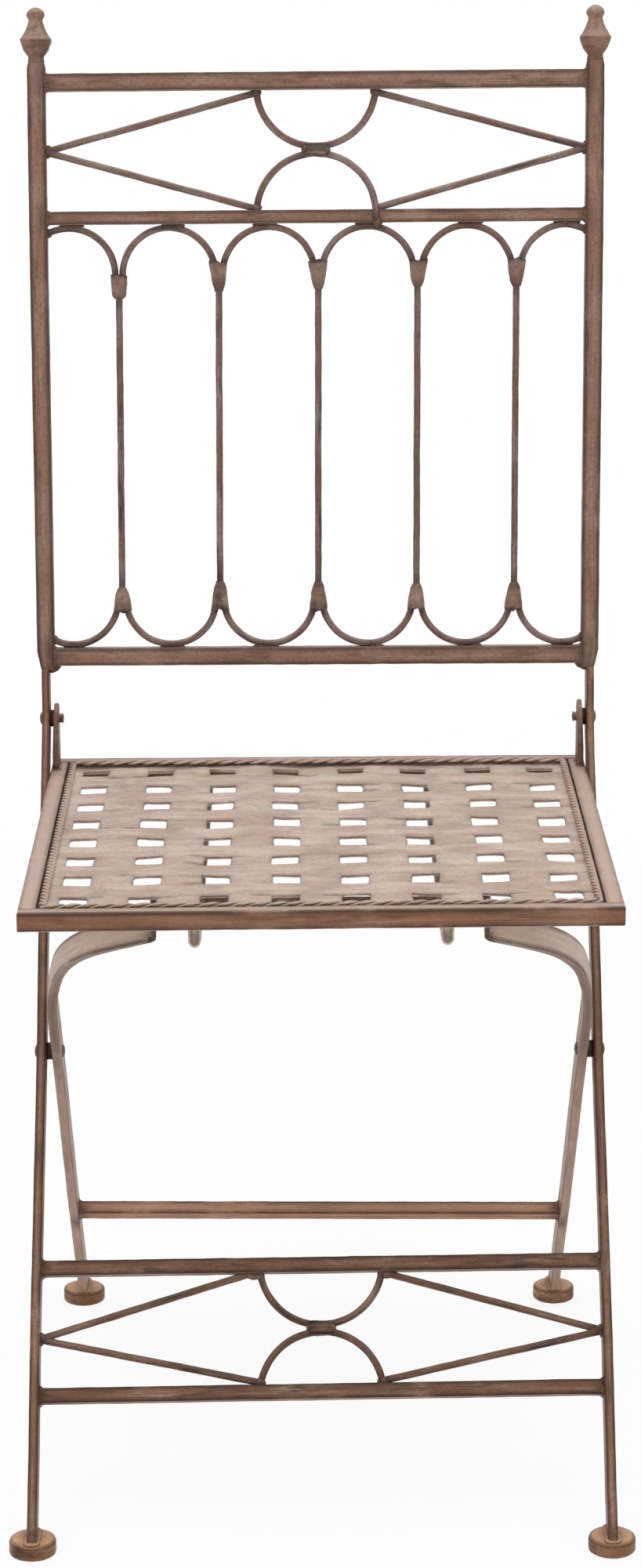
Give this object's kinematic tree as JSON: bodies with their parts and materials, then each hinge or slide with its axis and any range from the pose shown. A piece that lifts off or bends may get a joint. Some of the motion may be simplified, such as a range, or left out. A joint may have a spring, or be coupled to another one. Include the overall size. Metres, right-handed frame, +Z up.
{
  "type": "folding metal chair",
  "caption": "Folding metal garden chair: crossed flat-bar legs on disc feet, a pierced sheet seat with rope edging, and a back of rods and arches between finialed posts.",
  "frame": {"origin": "on the floor, at the middle of the chair's outline seen from above", "axes": "+Z up, +Y towards the back of the chair, +X to the sitter's left"},
  "size_m": [0.4049, 0.503, 0.9607],
  "materials": {
    "frame": "brushed-on antique brown over grey, matt",
    "seat": "pale worn taupe, matt, lightly dented",
    "fittings": "antique brown, matt"
  },
  "bodies": {
    "back_frame": {"back_bottom_rail": "frame", "back_panel_arch": "frame", "back_panel_bowl": "frame", "back_panel_clip": "frame", "back_panel_diagonals_left": "frame", "back_panel_diagonals_right": "frame", "back_post_left": "frame", "back_post_right": "frame", "back_rod_1": "frame", "back_rod_2": "frame", "back_rod_3": "frame", "back_rod_4": "frame", "back_rod_5": "frame", "bottom_arches": "frame", "bottom_collars": "frame", "finial_left": "frame", "finial_right": "frame", "front_foot_left": "fittings", "front_foot_right": "fittings", "front_leg_left": "frame", "front_leg_right": "frame", "front_panel_arch": "frame", "front_panel_bowl": "frame", "front_panel_clip": "frame", "front_panel_diagonals_left": "frame", "front_panel_diagonals_right": "frame", "front_stretcher_lower": "frame", "front_stretcher_upper": "frame", "hinge_rivet_left": "fittings", "hinge_rivet_right": "fittings", "hinge_spacer_left": "fittings", "hinge_spacer_right": "fittings", "panel_rail": "frame", "pivot_rivet_left": "fittings", "pivot_rivet_right": "fittings", "pivot_spacer_left": "fittings", "pivot_spacer_right": "fittings", "top_arches": "frame", "top_collars": "frame", "top_rail": "frame"},
    "rear_legs": {"rear_foot_left": "fittings", "rear_foot_right": "fittings", "rear_leg_left": "frame", "rear_leg_right": "frame", "rear_stretcher": "frame", "slide_rod": "frame"},
    "seat": {"guide_bar_left": "frame", "guide_bar_right": "frame", "hinge_tab_left": "frame", "hinge_tab_right": "frame", "rope_trim": "frame", "seat_rail_front": "frame", "seat_rail_left": "frame", "seat_rail_rear": "frame", "seat_rail_right": "frame", "seat_sheet": "seat"}
  },
  "joints": [
    {"name": "seat_fold", "type": "hinge", "parent": "back_frame", "child": "seat", "pos_m": [0, 0.09519, 0.4846], "axis": [-1, 0, 0], "range_deg": [0, 92]},
    {"name": "leg_fold", "type": "hinge", "parent": "back_frame", "child": "rear_legs", "pos_m": [0, -0.02474, 0.285], "axis": [-1, 0, 0], "range_deg": [0, 59]}
  ],
  "couplings": [
    {"joint": "leg_fold", "follows": "seat_fold", "ratio": 0.64}
  ]
}
